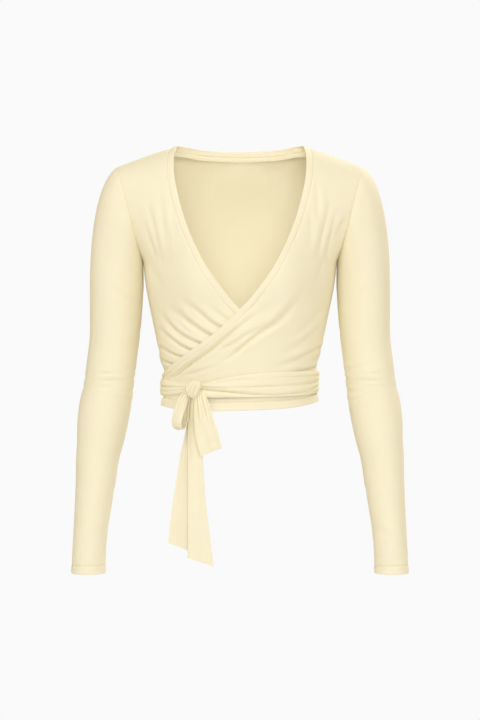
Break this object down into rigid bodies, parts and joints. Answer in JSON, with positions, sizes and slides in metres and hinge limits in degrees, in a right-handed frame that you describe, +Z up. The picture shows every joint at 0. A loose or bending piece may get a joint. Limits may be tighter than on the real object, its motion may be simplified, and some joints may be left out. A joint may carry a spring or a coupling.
{
  "type": "wrap top",
  "caption": "Long-sleeved cropped wrap top in plain jersey with a deep crossed neckline, tied at one side of the waist in a half bow, hollow as worn.",
  "frame": {"origin": "level with the high points of the shoulders, midway between them, on the shoulder seams", "axes": "+Z up, the front faces -Y, +X is the wearer's left"},
  "size_m": [0.5018, 0.2081, 0.6384],
  "materials": {
    "jersey": "matte plain knitted jersey, pale butter yellow, with a soft sheen",
    "jersey_binding": "the same jersey folded double along the neck and at the wrists"
  },
  "bodies": {
    "root": {"back": "jersey", "front_under": "jersey", "front_over": "jersey", "sleeve_right": "jersey", "sleeve_left": "jersey", "cuff_right": "jersey_binding", "cuff_left": "jersey_binding", "neckband_under": "jersey_binding", "neckband_over": "jersey_binding", "neckband_back": "jersey_binding", "tie_over_back": "jersey", "tie_over_front": "jersey", "tie_under_back": "jersey", "tie_under_side": "jersey", "knot": "jersey", "bow_loop": "jersey", "tail_short": "jersey", "tail_long": "jersey"}
  },
  "joints": []
}
